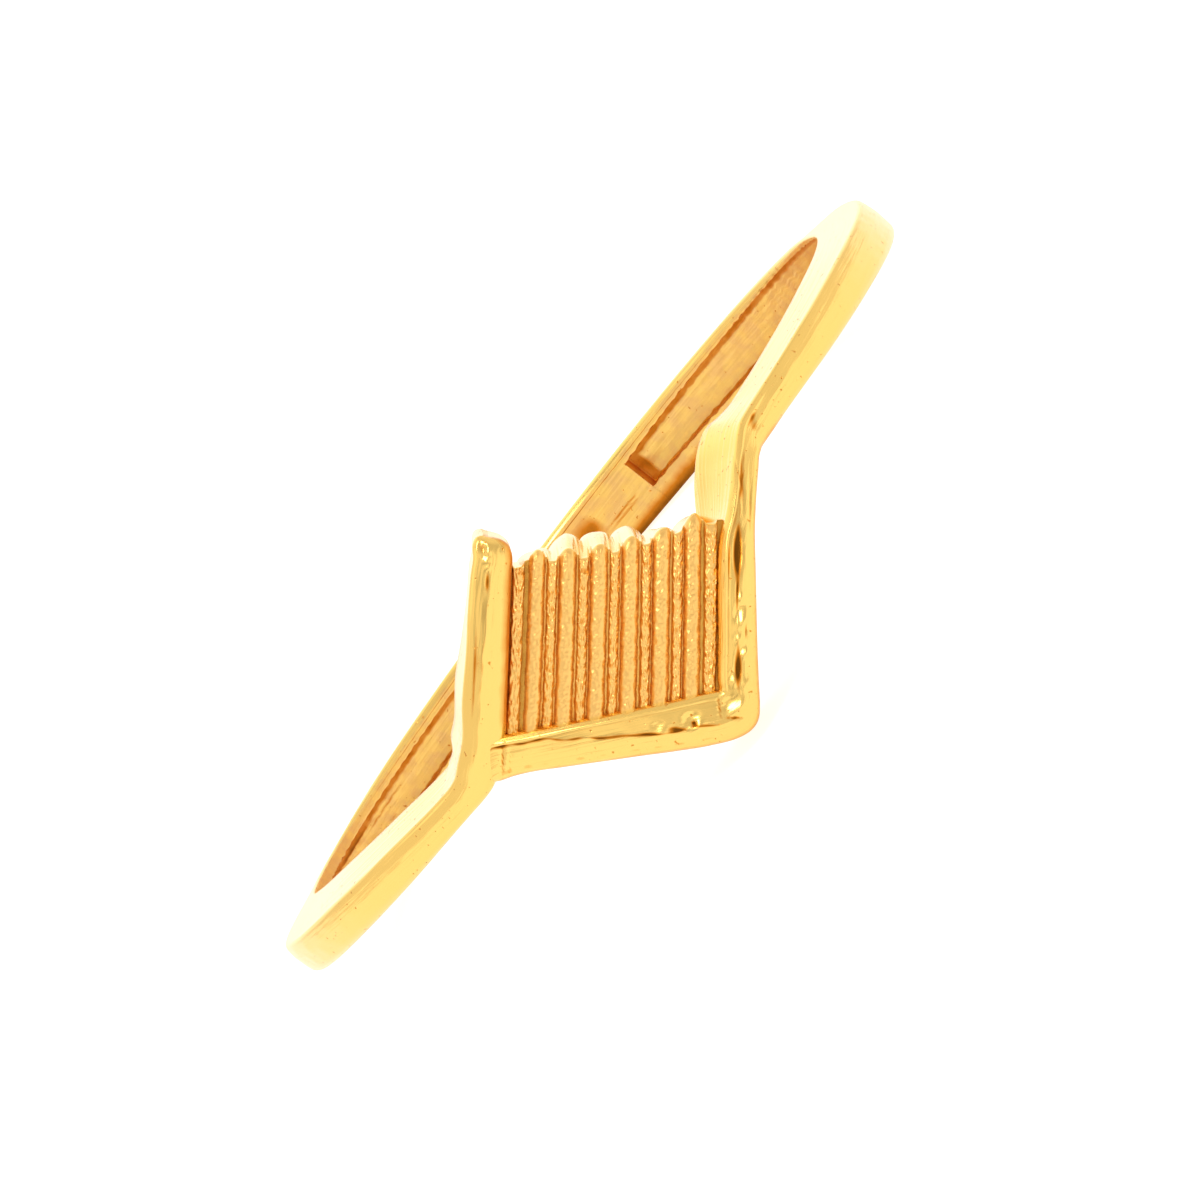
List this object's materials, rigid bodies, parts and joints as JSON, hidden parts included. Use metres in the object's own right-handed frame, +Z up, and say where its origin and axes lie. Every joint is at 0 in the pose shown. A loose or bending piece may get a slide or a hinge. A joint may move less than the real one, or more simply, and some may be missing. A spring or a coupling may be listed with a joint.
{
  "type": "finger ring",
  "caption": "Narrow gold finger ring whose arms turn up and down into bars beside a ribbed panel.",
  "frame": {"origin": "middle of the bounding box's underside, on the surface that the ring lies on", "axes": "+Z up; the ring lies on its side with its hole's axis about 8 degrees off +Z, and the head faces -Y"},
  "size_m": [0.0198, 0.0206, 0.0067],
  "materials": {
    "gold": "polished"
  },
  "bodies": {
    "root": {"ring": "gold"}
  },
  "joints": []
}
